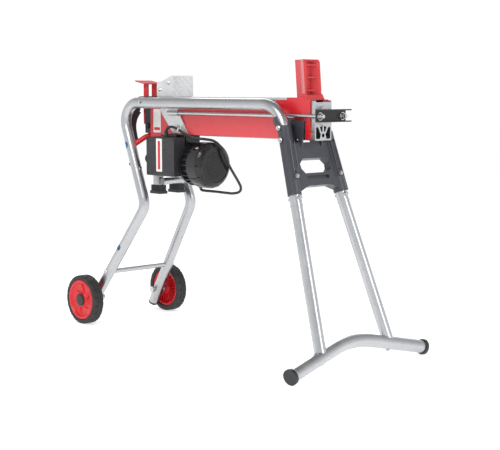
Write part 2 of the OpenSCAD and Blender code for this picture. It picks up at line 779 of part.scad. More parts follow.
// Two flanks on a pin, a sloping palm plate above and a tongue below that pushes the spool
module control_lever() placed() color(red) {
    difference() {
        both_sides() plate_xz([
            [-190, 848], [-165, 844], [-165, 812], [-164, 780], [-164.5, 752], [-176, 735], [-181, 704],
            [-190, 704], [-192, 760], [-190, 812]
        ], -lever_flange - lever_t, -lever_flange);
        translate([pin_at.x, 30, pin_at.z]) rotate([90, 0, 0]) cylinder(h = 60, r = pin_r + 0.1);
    }
    box([-190, -lever_flange - 0.5, 704], [-181.5, lever_flange + 0.5, 726]);
    plate_xz([[-217, 855], [-160, 845], [-160, 841.2], [-217, 851.2]], -36, 36);
}

module lever_pin() placed() color(zinc) translate([pin_at.x, 0, pin_at.z]) rotate([90, 0, 0]) {
    cylinder(h = 48, r = pin_r, center = true);
    both_sides_z() translate([0, 0, 20]) cylinder(h = 3, r = 8);
}

module both_sides_z() {
    children();
    mirror([0, 0, 1]) children();
}

module bleed_screw() placed() color(zinc) {
    translate([-130, 24, 764]) cylinder(h = 18, r = 4);
    translate([-130, 24, 780.1]) cylinder(h = 6, r = 8);
}

module oil_dipstick() placed() color(dark) translate([-145, -beam_half, 700]) rotate([90, 0, 0]) {
    translate([0, 0, -11]) cylinder(h = 12, r = 5.8);
    translate([0, 0, 0.1]) cylinder(h = 6, r = 10, $fn = hex);
}

// ---- Pump and motor ----

gear_body_r = 21;

module pump_housing() placed() color(slate) difference() {
    union() {
        box([pump_x[0], -34, 534], [10, 34, beam_bottom - 0.2]);
        translate([0, 0, motor_z]) rotate([0, 90, 0]) cylinder(h = pump_x[1], r = 38);
        box([10, -30, 600], [pump_x[1] - 8, 30, beam_bottom - 0.2]);
    }
    for (z = [0, gear_gap]) {
        translate([gear_x - 0.2, 0, motor_z + z]) rotate([0, 90, 0]) cylinder(h = gear_w + 0.4, r = gear_body_r);
        translate([gear_x - 20, 0, motor_z + z]) rotate([0, 90, 0]) cylinder(h = gear_w + 40, r = shaft_r + run);
    }
    translate([gear_x, 0, motor_z]) rotate([0, 90, 0]) cylinder(h = 100, r = shaft_r + run);
}

pressure = 25;
base_r = gear_pitch_r * cos(pressure);
tip_r = gear_pitch_r + 0.8 * gear_m;
root_r = gear_pitch_r - 1.15 * gear_m;
backlash = 0.9;
flank_steps = 5;
function roll(r) = sqrt(max(r * r / (base_r * base_r) - 1, 0)) * 180 / PI;
function involute(r) = roll(r) - atan(roll(r) * PI / 180);
function half_tooth(r) = 90 / pump_teeth - backlash + involute(gear_pitch_r) - involute(max(r, base_r));
function polar(r, w) = [r * cos(w), r * sin(w)];
flank = [for (i = [0 : flank_steps]) root_r + (tip_r - root_r) * i / flank_steps];

module gear_outline() polygon([
    for (k = [0 : pump_teeth - 1])
        let (w = 360 * k / pump_teeth)
            each concat(
                [for (r = flank) polar(r, w - half_tooth(r))],
                [for (i = [flank_steps : -1 : 0]) polar(flank[i], w + half_tooth(flank[i]))]
            )
]);

module pump_drive_gear() placed() color(zinc) translate([gear_x, 0, motor_z]) rotate([0, 90, 0])
    difference() {
        linear_extrude(gear_w) gear_outline();
        translate([0, 0, -1]) cylinder(h = gear_w + 2, r = shaft_r + 0.05);
    }

module pump_driven_gear() placed() color(zinc) translate([gear_x, 0, motor_z + gear_gap]) rotate([0, 90, 0]) {
    rotate([0, 0, 180 / pump_teeth]) linear_extrude(gear_w) gear_outline();
    translate([0, 0, -18]) cylinder(h = gear_w + 36, r = shaft_r);
}

fan_x = 136;

module motor_housing() placed() color(dark) translate([0, 0, motor_z]) rotate([0, 90, 0]) difference() {
    union() {
        translate([0, 0, motor_x[0]]) cylinder(h = motor_x[1] - motor_x[0], r = 62);
        translate([0, 0, motor_x[0]]) cylinder(h = 8, r = 72);
        translate([0, 0, 112]) cylinder(h = 6, r = 72);
        for (k = [0 : 23]) {
            rotate([0, 0, k * 15]) translate([60, -1.5, motor_x[0] + 6]) cube([10, 3, 50]);
        }
    }
    translate([0, 0, motor_x[0] + 6]) cylinder(h = 48, r = 56);
    translate([0, 0, 0]) cylinder(h = 200, r = shaft_r + run);
    box([62, -12, 78], [76, 12, 102]);
}

module motor_stator() placed() color(zinc) translate([0, 0, motor_z]) rotate([0, 90, 0]) difference() {
    translate([0, 0, 69]) cylinder(h = 36, r = 55.8);
    translate([0, 0, 60]) cylinder(h = 60, r = 32);
}

module motor_rotor() placed() color(zinc) translate([0, 0, motor_z]) rotate([0, 90, 0]) {
    translate([0, 0, gear_x - 18]) cylinder(h = 150 - gear_x + 18, r = shaft_r);
    translate([0, 0, 68]) cylinder(h = 40, r = 31);
}

module motor_fan() placed() color(dark) translate([fan_x, 0, motor_z]) rotate([0, 90, 0]) difference() {
    union() {
        cylinder(h = 4, r = 58);
        cylinder(h = 14, r = 16);
        for (k = [0 : 6]) {
            rotate([0, 0, k * 360 / 7]) translate([14, -1.5, 1]) cube([42, 3, 14]);
        }
    }
    translate([0, 0, -1]) cylinder(h = 30, r = shaft_r + 0.05);
}

// Rounded cover over the fan
module fan_cover() placed() color(dark) translate([0, 0, motor_z]) rotate([0, 90, 0]) difference() {
    rotate_extrude() polygon([
        [72.3, 106], [motor_r, 106], [motor_r, 146], [motor_r - 2, 153], [motor_r - 7, 159],
        [motor_r - 14, 163], [motor_r - 22, 165], [0, 165], [0, 162], [54, 162], [62, 160],
        [68, 156], [72, 150], [72.3, 144]
    ]);
    for (k = [0 : 11]) {
        rotate([0, 0, k * 30]) translate([56, -1.5, 150]) cube([30, 3, 8]);
    }
}

// ---- Electrics ----

module switch_box() placed() color(slate) difference() {
    box([box_x[0], box_y[0] + 16, box_z[0]], [box_x[1], box_y[1], box_z[1]]);
    box([box_x[0] + 3, box_y[0] - 1, box_z[0] + 3], [box_x[1] - 3, box_y[1] - 3, box_z[1] - 3]);
    for (z = [0, 28]) {
        translate([box_x[0], -56, 622 + z]) rotate([0, 90, 0]) cylinder(h = 20, r = 9 + clear, center = true);
    }
    translate([box_x[0], -56, 588]) rotate([0, 90, 0]) cylinder(h = 20, r = 11, center = true);
    translate([-15, -62, box_z[1]]) cylinder(h = 20, r = 7, center = true);
}

module switch_box_lid() placed() color(slate) difference() {
    plate_yz([
        [box_y[0] + 15.9, box_z[0]], [box_y[0] + 15.9, box_z[1]], [box_y[0] + 3, box_z[1]],
        [box_y[0], box_z[1] - 4], [box_y[0], box_z[0] + 4], [box_y[0] + 3, box_z[0]]
    ], box_x[0], box_x[1]);
    box([box_x[0] + 3, box_y[0] + 3, box_z[0] + 3], [box_x[1] - 3, box_y[1], box_z[1] - 3]);
}

module push_button(z) translate([box_x[0], -56, z]) rotate([0, -90, 0]) {
    translate([0, 0, -9]) cylinder(h = 17, r = 9);
    translate([0, 0, -11]) cylinder(h = 2.5, r = 11);
}

module start_button() placed() color("green") push_button(650);
module stop_button() placed() color(red) push_button(622);

// Recessed plug inlet on the end of the box
module power_inlet() placed() color(dark) translate([box_x[0] - 0.1, -56, 588]) rotate([0, -90, 0]) difference() {
    union() {
        cylinder(h = 26, r = 16);
        translate([0, 0, -10]) cylinder(h = 11, r = 10.8);
    }
    difference() {
        translate([0, 0, 5]) cylinder(h = 30, r = 13);
        for (k = [-1, 1]) {
            translate([0, k * 5, 0]) cylinder(h = 22, r = 2);
        }
    }
}

flap_hinge = [box_x[0] - 24, -56, 606.5];

module inlet_flap() placed() color(dark) {
    translate([box_x[0] - 26.6, -56, 588]) rotate([0, -90, 0]) cylinder(h = 2.5, r = 16);
    translate([box_x[0] - 29.1, -62, 600]) cube([2.5, 12, 8]);
    translate([flap_hinge.x - 3.4, -50, flap_hinge.z]) rotate([90, 0, 0]) cylinder(h = 12, r = 1.8);
}

module cable_glands() placed() color(dark) {
    translate([-15, -62, box_z[1] + 0.1]) difference() {
        union() {
            translate([0, 0, -9]) cylinder(h = 10, r = 6.8);
            cylinder(h = 5, r = 10, $fn = hex);
            cylinder(h = 19.9, r1 = 8.5, r2 = 6);
        }
        translate([0, 0, -10]) cylinder(h = 29, r = 3);
    }
    translate([90, 0, motor_z - 62 - 18]) {
        cylinder(h = 10, r1 = 6, r2 = 9);
        translate([0, 0, 8]) cylinder(h = 9, r = 11, $fn = hex);
    }
}

module motor_lead() placed() color(dark) tube_through(lead_route, lead_r, 8, [0.3, -0.5, 0.2]);

// ---- Base ----

post_x = [-102, -70];
post_y = [30, 50];
cross_tube = [-57, 46, 512];

module base_frame() placed() color(silver) {
    both_sides() box([post_x[0], -post_y[1], 498], [post_x[1], -post_y[0], 533.8]);
    rod_between(cross_tube, flip(cross_tube), 12);
}

module rubber_feet() placed() color(dark) both_sides() {
    box([-110, -53, 478], [-60, -27, 497.9]);
    box([-113, -56, 468], [-57, -24, 478]);
}

frame_tube_near();
frame_tube_far();
rear_support();
rear_guard();
axle_crossbar();
tube_plugs();
wheel_axles();
wheel_rim_near();
wheel_tyre_near();
wheel_rim_far();
wheel_tyre_far();
hub_caps();
bracket_near();
bracket_far();
bracket_plate();
leg_near();
leg_far();
foot_bar();
foot_caps();
frame_bolts();
beam_profile();
table_plate();
side_panels();
wedge();
wedge_saddle();
rod_gland();
piston_rod();
piston();
valve_block();
valve_spool();
spool_spring();
control_lever();
lever_pin();
bleed_screw();
oil_dipstick();
pump_housing();
pump_drive_gear();
pump_driven_gear();
pusher_head();
pusher_cheeks();
pusher_bolts();
rod_bosses();
tie_rods();
yoke();
yoke_nuts();
motor_housing();
motor_stator();
motor_rotor();
motor_fan();
fan_cover();
switch_box();
switch_box_lid();
start_button();
stop_button();
power_inlet();
inlet_flap();
cable_glands();
motor_lead();
base_frame();
rubber_feet();
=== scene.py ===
import json
import math

import bmesh
import bpy
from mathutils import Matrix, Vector


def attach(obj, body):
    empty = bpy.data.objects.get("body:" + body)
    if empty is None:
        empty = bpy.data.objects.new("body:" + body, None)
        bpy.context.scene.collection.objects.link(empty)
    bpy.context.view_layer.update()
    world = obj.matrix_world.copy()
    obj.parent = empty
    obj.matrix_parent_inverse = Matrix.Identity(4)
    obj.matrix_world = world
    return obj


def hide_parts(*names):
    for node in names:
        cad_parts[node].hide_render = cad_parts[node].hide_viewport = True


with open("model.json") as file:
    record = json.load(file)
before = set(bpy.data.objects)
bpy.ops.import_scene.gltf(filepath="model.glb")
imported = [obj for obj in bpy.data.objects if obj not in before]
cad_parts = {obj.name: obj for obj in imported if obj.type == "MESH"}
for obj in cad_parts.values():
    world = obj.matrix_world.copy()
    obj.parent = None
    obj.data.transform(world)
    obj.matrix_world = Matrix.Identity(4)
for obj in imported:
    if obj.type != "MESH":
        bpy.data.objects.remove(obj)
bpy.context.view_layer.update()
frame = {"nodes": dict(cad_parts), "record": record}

NODES = frame["nodes"]

# part.scad puts the pusher face at X = 0 and then moves the origin to the middle of the footprint
SHIFT = 0.2154


def at(x, y, z):
    """A point given in part.scad's working millimetres, as metres in the row frame."""
    return Vector((x / 1000 - SHIFT, y / 1000, z / 1000))


# ---- Camera, light and floor ----

CAMERA_AT = (3112.9, -2592.0, 826.4)
CAMERA_LENS = 85.5
CAMERA_TURN = 47.0
CAMERA_DIP = 6.55


def make_camera():
    data = bpy.data.cameras.new("camera")
    data.lens = CAMERA_LENS
    data.sensor_width = 36.0
    camera = bpy.data.objects.new("camera", data)
    camera.location = at(*CAMERA_AT)
    camera.rotation_euler = (math.radians(90 - CAMERA_DIP), 0, math.radians(CAMERA_TURN))
    bpy.context.scene.collection.objects.link(camera)
    bpy.context.scene.camera = camera


def area_light(name, place, target, size, power):
    data = bpy.data.lights.new(name, "AREA")
    data.shape = "RECTANGLE"
    data.size, data.size_y = size
    data.energy = power
    lamp = bpy.data.objects.new(name, data)
    lamp.location = place
    lamp.rotation_euler = (Vector(target) - Vector(place)).to_track_quat("-Z", "Y").to_euler()
    bpy.context.scene.collection.objects.link(lamp)


def make_light():
    """White at the horizon and greyer overhead, so that bright metal has something to reflect."""
    world = bpy.data.worlds.new("studio")
    world.use_nodes = True
    nodes, links = world.node_tree.nodes, world.node_tree.links
    place = nodes.new("ShaderNodeTexCoord")
    split = nodes.new("ShaderNodeSeparateXYZ")
    height = nodes.new("ShaderNodeMapRange")
    height.inputs["From Min"].default_value = 0.16
    height.inputs["From Max"].default_value = 0.85
    height.inputs["To Min"].default_value = 1.04
    height.inputs["To Max"].default_value = 0.34
    links.new(place.outputs["Generated"], split.inputs["Vector"])
    links.new(split.outputs["Z"], height.inputs["Value"])
    background = nodes["Background"]
    background.inputs["Color"].default_value = (0.985, 0.99, 1.0, 1.0)
    links.new(height.outputs["Result"], background.inputs["Strength"])
    bpy.context.scene.world = world
    bpy.context.scene.view_settings.view_transform = "Standard"
    middle = (0, 0, 0.5)
    area_light("key", (0.9, -2.4, 3.2), middle, (1.8, 1.2), 62)
    area_light("side", (3.4, 0.4, 1.6), middle, (1.0, 2.0), 24)
    area_light("rim", (-2.4, 2.2, 2.4), middle, (1.6, 1.2), 24)


def make_floor():
    """A matte floor that glows a little, so that it runs into the white background."""
    bpy.ops.mesh.primitive_plane_add(size=40)
    floor = bpy.context.object
    floor.name = "floor"
    surface = Surface("floor", (0.93, 0.93, 0.93), rough=0.9, round_edges=0)
    surface.vary_roughness(3.0, 0.85, 0.95)
    surface.set("Emission Color", (1.0, 1.0, 1.0, 1.0))
    surface.set("Emission Strength", 0.50)
    floor.data.materials.append(surface.material)


# ---- Materials ----

class Surface:
    """A node-built material whose textures sit on the piece's own coordinates, in metres."""

    def __init__(self, name, base, rough=0.5, metallic=0.0, coat=0.0, coat_rough=0.1, round_edges=0.0008):
        self.material = bpy.data.materials.new(name)
        self.material.use_nodes = True
        self.tree = self.material.node_tree
        self.shader = self.tree.nodes["Principled BSDF"]
        self.base = (*base, 1.0)
        self.normal = None
        self.set("Base Color", self.base)
        self.set("Roughness", rough)
        self.set("Metallic", metallic)
        self.set("Coat Weight", coat)
        self.set("Coat Roughness", coat_rough)
        self.place = self.new("ShaderNodeTexCoord").outputs["Object"]
        if round_edges:
            rounded = self.new("ShaderNodeBevel", samples=4)
            rounded.inputs["Radius"].default_value = round_edges
            self.normal = rounded.outputs["Normal"]

    def set(self, socket, value):
        self.shader.inputs[socket].default_value = value

    def new(self, kind, **values):
        node = self.tree.nodes.new(kind)
        for key, value in values.items():
            setattr(node, key, value)
        return node

    def link(self, a, b):
        self.tree.links.new(a, b)

    def noise(self, scale, stretch=(1, 1, 1), detail=4.0):
        """A noise whose features are about 1/scale of a metre, stretched along the axes."""
        mapping = self.new("ShaderNodeMapping")
        mapping.inputs["Scale"].default_value = stretch
        self.link(self.place, mapping.inputs["Vector"])
        noise = self.new("ShaderNodeTexNoise")
        noise.inputs["Scale"].default_value = scale
        noise.inputs["Detail"].default_value = detail
        self.link(mapping.outputs["Vector"], noise.inputs["Vector"])
        return noise.outputs["Fac"]

    def spread(self, value, low, high, inner=(0.3, 0.7)):
        """Maps a noise onto low to high."""
        node = self.new("ShaderNodeMapRange")
        node.inputs["From Min"].default_value, node.inputs["From Max"].default_value = inner
        node.inputs["To Min"].default_value, node.inputs["To Max"].default_value = low, high
        self.link(value, node.inputs["Value"])
        return node.outputs["Result"]

    def mix(self, fac, a, b):
        """Colour a to colour b by fac; either may be a socket."""
        node = self.new("ShaderNodeMix", data_type="RGBA")
        self.link(fac, node.inputs["Factor"])
        for slot, value in (("A", a), ("B", b)):
            socket = [s for s in node.inputs if s.name == slot and s.type == "RGBA"][0]
            if isinstance(value, tuple):
                socket.default_value = value
            else:
                self.link(value, socket)
        return [s for s in node.outputs if s.type == "RGBA"][0]

    def tint(self, fac, colour):
        """Blends the base colour towards another where fac is high."""
        socket = self.shader.inputs["Base Color"]
        now = socket.links[0].from_socket if socket.is_linked else self.base
        self.link(self.mix(fac, now, (*colour, 1.0)), socket)
        return self

    def mottle(self, scale, colour, amount, stretch=(1, 1, 1)):
        return self.tint(self.spread(self.noise(scale, stretch), 0.0, amount), colour)

    def vary_roughness(self, scale, low, high, stretch=(1, 1, 1)):
        self.link(self.spread(self.noise(scale, stretch), low, high), self.shader.inputs["Roughness"])
        return self

    def bump(self, height, strength, distance):
        """Adds a bump from a height socket; several calls add up."""
        node = self.new("ShaderNodeBump")
        node.inputs["Strength"].default_value = strength
        node.inputs["Distance"].default_value = distance
        self.link(height, node.inputs["Height"])
        if self.normal:
            self.link(self.normal, node.inputs["Normal"])
        self.normal = node.outputs["Normal"]
        self.link(self.normal, self.shader.inputs["Normal"])
        return self

    def grain(self, scale, strength, distance, stretch=(1, 1, 1)):
        return self.bump(self.noise(scale, stretch), strength, distance)

    def worn_edges(self, colour, radius, amount):
        """Lightens the edges, where a rounded normal leaves the face's own normal."""
        rounded = self.new("ShaderNodeBevel", samples=4)
        rounded.inputs["Radius"].default_value = radius
        plain = self.new("ShaderNodeNewGeometry")
        dot = self.new("ShaderNodeVectorMath", operation="DOT_PRODUCT")
        self.link(rounded.outputs["Normal"], dot.inputs[0])
        self.link(plain.outputs["Normal"], dot.inputs[1])
        patchy = self.new("ShaderNodeMath", operation="MULTIPLY")
        self.link(self.spread(dot.outputs["Value"], amount, 0.0, (0.85, 0.99)), patchy.inputs[0])
        self.link(self.spread(self.noise(90), 0.25, 1.0), patchy.inputs[1])
        return self.tint(patchy.outputs["Value"], colour)


def tube_steel():
    s = Surface("tube_steel", (0.50, 0.51, 0.52), metallic=1.0, rough=0.28, round_edges=0)
    s.mottle(9, (0.42, 0.43, 0.45), 0.8).mottle(160, (0.58, 0.59, 0.60), 0.3)
    s.vary_roughness(28, 0.24, 0.36)
    return s.grain(900, 0.03, 0.0001)


def red_paint():
    s = Surface("red_paint", (0.62, 0.010, 0.018), rough=0.30, coat=0.4, coat_rough=0.16)
    s.mottle(6, (0.54, 0.007, 0.014), 0.7).worn_edges((0.80, 0.22, 0.20), 0.0012, 0.4)
    s.vary_roughness(40, 0.26, 0.38)
    return s.grain(900, 0.06, 0.0003).grain(60, 0.05, 0.0006)


def panel_paint():
    """The same red on the rolled sheet of the flanks, with a chalky sheen."""
    s = Surface("panel_paint", (0.64, 0.055, 0.065), rough=0.5, coat=0.25, coat_rough=0.35)
    s.mottle(5, (0.58, 0.045, 0.052), 0.7, (0.3, 1, 1)).worn_edges((0.80, 0.26, 0.24), 0.0012, 0.4)
    s.vary_roughness(40, 0.42, 0.58)
    return s.grain(1100, 0.08, 0.0002)


def lever_paint():
    """The red on the palm plate, worn flat by hands so that it hardly mirrors."""
    s = Surface("lever_paint", (0.60, 0.035, 0.045), rough=0.55)
    s.set("IOR", 1.12)
    s.mottle(8, (0.50, 0.020, 0.028), 0.8).mottle(70, (0.66, 0.16, 0.16), 0.35)
    return s.grain(900, 0.06, 0.0003)


def slate_cast():
    s = Surface("slate_cast", (0.042, 0.044, 0.056), rough=0.40, coat=0.15, coat_rough=0.3)
    s.mottle(12, (0.030, 0.032, 0.041), 0.7).worn_edges((0.20, 0.20, 0.23), 0.0012, 0.5)
    s.vary_roughness(50, 0.32, 0.50)
    return s.grain(650, 0.16, 0.0004)


def black_paint():
    s = Surface("black_paint", (0.009, 0.009, 0.010), rough=0.22, coat=0.35, coat_rough=0.05)
    s.set("Specular IOR Level", 0.25)
    s.mottle(20, (0.020, 0.020, 0.022), 0.8).worn_edges((0.10, 0.10, 0.11), 0.0010, 0.4)
    s.vary_roughness(30, 0.15, 0.28)
    return s.grain(120, 0.02, 0.0004)


def hatch_dark():
    """The floor of the hatched strips, which light hardly reaches."""
    s = Surface("hatch_dark", (0.005, 0.005, 0.006), rough=0.7, round_edges=0)
    s.set("Specular IOR Level", 0.1)
    return s.mottle(40, (0.010, 0.010, 0.012), 0.6)


def hatch_lit():
    """The tops of the hatching ribs, painted lighter than the casting as a painted highlight where they catch
    the light.
    """
    s = Surface("hatch_lit", (0.13, 0.13, 0.15), rough=0.32, coat=0.3, coat_rough=0.2)
    s.mottle(40, (0.09, 0.09, 0.11), 0.6).vary_roughness(60, 0.26, 0.42)
    return s.grain(650, 0.10, 0.0003)


def slate_plastic():
    s = Surface("slate_plastic", (0.030, 0.030, 0.034), rough=0.48)
    s.mottle(15, (0.022, 0.022, 0.026), 0.7).worn_edges((0.10, 0.10, 0.11), 0.0010, 0.5)
    s.vary_roughness(60, 0.40, 0.58)
    return s.grain(1500, 0.12, 0.0002)


def black_plastic():
    s = Surface("black_plastic", (0.014, 0.014, 0.016), rough=0.42)
    s.mottle(30, (0.021, 0.021, 0.024), 0.8).worn_edges((0.07, 0.07, 0.075), 0.0008, 0.4)
    s.vary_roughness(80, 0.34, 0.52)
    return s.grain(1400, 0.10, 0.0002)


def red_plastic():
    s = Surface("red_plastic", (0.66, 0.006, 0.014), rough=0.34)
    s.mottle(25, (0.56, 0.005, 0.011), 0.7).worn_edges((0.78, 0.14, 0.13), 0.0010, 0.35)
    s.vary_roughness(60, 0.28, 0.42)
    return s.grain(1000, 0.06, 0.0002)


def green_plastic():
    s = Surface("green_plastic", (0.03, 0.22, 0.05), rough=0.3)
    s.mottle(60, (0.02, 0.17, 0.04), 0.6).vary_roughness(90, 0.25, 0.4)
    return s.grain(1000, 0.05, 0.0002)


def tyre_rubber():
    s = Surface("tyre_rubber", (0.020, 0.020, 0.021), rough=0.66)
    s.mottle(40, (0.040, 0.038, 0.037), 0.5).mottle(300, (0.012, 0.012, 0.012), 0.6)
    s.vary_roughness(90, 0.56, 0.78)
    return s.grain(800, 0.15, 0.0003)


def rubber():
    s = Surface("rubber", (0.014, 0.014, 0.015), rough=0.48)
    s.mottle(45, (0.026, 0.026, 0.027), 0.6).vary_roughness(110, 0.40, 0.58)
    return s.grain(900, 0.12, 0.0002)


def zinc():
    s = Surface("zinc", (0.62, 0.63, 0.64), metallic=1.0, rough=0.20)
    s.mottle(70, (0.48, 0.48, 0.47), 0.6).vary_roughness(120, 0.14, 0.30)
    return s.grain(1600, 0.05, 0.0001)


def bright_steel():
    s = Surface("bright_steel", (0.58, 0.58, 0.59), metallic=1.0, rough=0.2)
    s.mottle(50, (0.45, 0.45, 0.45), 0.5, (0.1, 1, 1)).vary_roughness(150, 0.14, 0.30, (0.1, 1, 1))
    return s.grain(1200, 0.06, 0.0001, (0.02, 1, 1))


def galvanised():
    s = Surface("galvanised", (0.66, 0.67, 0.67), metallic=0.6, rough=0.36)
    s.mottle(60, (0.76, 0.77, 0.77), 0.7).mottle(14, (0.56, 0.57, 0.58), 0.6)
    s.worn_edges((0.85, 0.85, 0.86), 0.0008, 0.6)
    s.vary_roughness(90, 0.28, 0.44)
    return s.grain(500, 0.08, 0.0002)


def beam_alloy():
    s = Surface("beam_alloy", (0.56, 0.57, 0.58), metallic=1.0, rough=0.34)
    s.mottle(40, (0.46, 0.47, 0.48), 0.6, (0.05, 1, 1)).vary_roughness(120, 0.26, 0.44, (0.05, 1, 1))
    return s.grain(900, 0.10, 0.0002, (0.01, 1, 1))


def label_white():
    s = Surface("label_white", (0.80, 0.79, 0.78), rough=0.35, coat=0.3, coat_rough=0.1, round_edges=0)
    s.mottle(30, (0.72, 0.71, 0.69), 0.6).vary_roughness(60, 0.28, 0.42)
    return s.grain(400, 0.04, 0.0001)


def sticker_blue():
    s = Surface("sticker_blue", (0.03, 0.16, 0.42), rough=0.25, coat=0.5, round_edges=0)
    s.mottle(120, (0.10, 0.32, 0.62), 0.8).vary_roughness(80, 0.2, 0.35)
    return s.grain(400, 0.04, 0.0001)


SLOTS = {
    "tube_steel": tube_steel, "red_paint": red_paint, "red_plastic": red_plastic,
    "green_plastic": green_plastic, "tyre_rubber": tyre_rubber, "rubber": rubber,
    "black_plastic": black_plastic, "slate_cast": slate_cast, "black_paint": black_paint,
    "slate_plastic": slate_plastic, "zinc": zinc, "bright_steel": bright_steel,
    "galvanised": galvanised, "beam_alloy": beam_alloy,
}
NODE_SKINS = {"side_panels": "panel_paint", "control_lever": "lever_paint"}
EXTRA_SKINS = {
    "panel_paint": panel_paint, "lever_paint": lever_paint, "hatch_dark": hatch_dark,
    "hatch_lit": hatch_lit, "label_white": label_white, "sticker_blue": sticker_blue,
}


def paint_frame(skins):
    """Gives every CAD node the material of its slot, or the one that NODE_SKINS names for it."""
    for entry in frame["record"]["subparts"]:
        node = NODES[entry["node"]]
        material = skins[NODE_SKINS.get(entry["node"], entry["material_slot"])]
        if not node.material_slots:
            node.data.materials.append(material)
        for slot in node.material_slots:
            slot.material = material


# ---- The motor lead ----

LEAD_ROUTE = [
    (-15, -62, 684), (-8, -61, 694), (8, -60, 699), (30, -58, 695), (56, -54, 684), (84, -46, 672),
    (112, -34, 663), (138, -18, 660), (159, 0, 654), (173, 16, 636), (178, 32, 606), (177, 50, 574),
    (176, 72, 544), (174, 96, 514), (170, 110, 494), (162, 112, 481), (150, 98, 475), (138, 74, 477),
    (126, 48, 481), (114, 26, 484), (102, 10, 486), (92, 2, 489), (90, 0, 494),
]
LEAD_RADIUS = 0.0045


def make_lead(skin):
    data = bpy.data.curves.new("lead", "CURVE")
    data.dimensions = "3D"
    data.bevel_depth = LEAD_RADIUS
    data.bevel_resolution = 5
    data.resolution_u = 12
    data.use_fill_caps = True
    spline = data.splines.new("BEZIER")
    spline.bezier_points.add(len(LEAD_ROUTE) - 1)
    for point, place in zip(spline.bezier_points, LEAD_ROUTE):
        point.co = at(*place)
        point.handle_left_type = point.handle_right_type = "AUTO"
    lead = bpy.data.objects.new("lead", data)
    bpy.context.scene.collection.objects.link(lead)
    data.materials.append(skin)
    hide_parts("motor_lead")
    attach(lead, "stand")


# ---- Mesh helpers ----

SHARP = math.radians(32)


def add_piece(name, mesh, skin, body, replaces=None, bevel=0.0):
    """Makes an object of a bmesh, with sharp edges kept sharp and the rest smooth."""
    bmesh.ops.recalc_face_normals(mesh, faces=mesh.faces)
    for face in mesh.faces:
        face.smooth = True
    for edge in mesh.edges:
        edge.smooth = len(edge.link_faces) == 2 and edge.calc_face_angle() < SHARP
    data = bpy.data.meshes.new(name)
    mesh.to_mesh(data)
    mesh.free()
    piece = bpy.data.objects.new(name, data)
    bpy.context.scene.collection.objects.link(piece)
    data.materials.append(skin)
    if bevel:
        rounding = piece.modifiers.new("edges", "BEVEL")
        rounding.width = bevel
        rounding.segments = 2
        rounding.limit_method = "ANGLE"
        rounding.angle_limit = SHARP
    if replaces:
        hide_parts(replaces)
    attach(piece, body)
    return piece


def lathe(mesh, outline, steps, place, dent=None):
    """Revolves a closed outline of (radius, depth); place turns radius, angle and depth into a point."""
    rings = []
    for k in range(steps):
        angle = 2 * math.pi * k / steps
        cut = [dent(r, z, k) if dent else r for r, z in outline]
        rings.append([mesh.verts.new(place(r, angle, z)) for r, (_, z) in zip(cut, outline)])
    for k in range(steps):
        a, b = rings[k], rings[(k + 1) % steps]
        for j in range(len(outline)):
            i = (j + 1) % len(outline)
            mesh.faces.new((a[j], a[i], b[i], b[j]))


def loft(mesh, sections):
    """Skins a list of closed sections with the same number of points, and closes both ends."""
    rings = [[mesh.verts.new(p) for p in section] for section in sections]
    for a, b in zip(rings, rings[1:]):
        for j in range(len(a)):
            i = (j + 1) % len(a)
            mesh.faces.new((a[j], a[i], b[i], b[j]))
    mesh.faces.new(rings[0])
    mesh.faces.new(list(reversed(rings[-1])))


def pad(mesh, origin, u, v, out, size, height, corner, steps=4):
    """A low rounded pad on a face: u and v span it, out points away from it, size in metres."""
    def ring(shrink, lift):
        points = []
        r = max(corner - shrink, corner * 0.3)
        for k, (su, sv) in enumerate(((1, 1), (-1, 1), (-1, -1), (1, -1))):
            for j in range(steps + 1):
                angle = math.pi / 2 * (k + j / steps)
                du = su * (size[0] / 2 - shrink - r) + r * math.cos(angle)
                dv = sv * (size[1] / 2 - shrink - r) + r * math.sin(angle)
                points.append(origin + u * du + v * dv + out * lift)
        return points
    loft(mesh, [ring(0, 0), ring(0, height * 0.6), ring(min(corner, height) * 0.5, height)])


X_AXIS, Y_AXIS, Z_AXIS = Vector((1, 0, 0)), Vector((0, 1, 0)), Vector((0, 0, 1))

# ---- Wheels ----

# Outlines are (radius, depth from the wheel's inner face)
AXLE = (-320.668, 86.0)
WHEEL_OUT = 209
WHEEL_WIDTH = 40
RIM_OUTLINE = [
    (8.1, 4), (21, 4), (22, 5), (22, 19), (24, 20.5), (50, 20.5), (54, 19), (59, 6), (61, 5), (65.8, 5),
    (65.8, 34), (69.8, 36), (69.8, 38.6), (68.5, 40), (64, 41), (61, 40.6), (57.5, 35.6), (55, 34),
    (32, 31.2), (28, 32.5), (25, 37), (23, 38), (8.1, 38),
]
TYRE_OUTLINE = [
    (66, 5), (70, 0.8), (74, 0.2), (82, 0), (84.4, 1), (85.6, 3), (86, 6), (86, 12), (86, 13), (84.4, 13.6),
    (84.4, 15.4), (86, 16), (86, 20), (86, 24), (84.4, 24.6), (84.4, 26.4), (86, 27), (86, 28), (86, 34),
    (85.6, 37), (84.4, 38.8), (82, 39.8), (74, 39.9), (71.5, 39.6), (70.4, 38.6), (70.2, 36), (66, 33.8),
]
SPOKES = 6
SPOKE_SWEEP = 34
INNER_RIBS = 24
RIM_STEPS = 96
TREAD_STEPS = 180
LUG_STEPS = 10
LUG_GAP_STEPS = 2
LUG_FLOOR = 83
LUG_DEPTHS = (13, 27)
LUG_CUT = 2.4


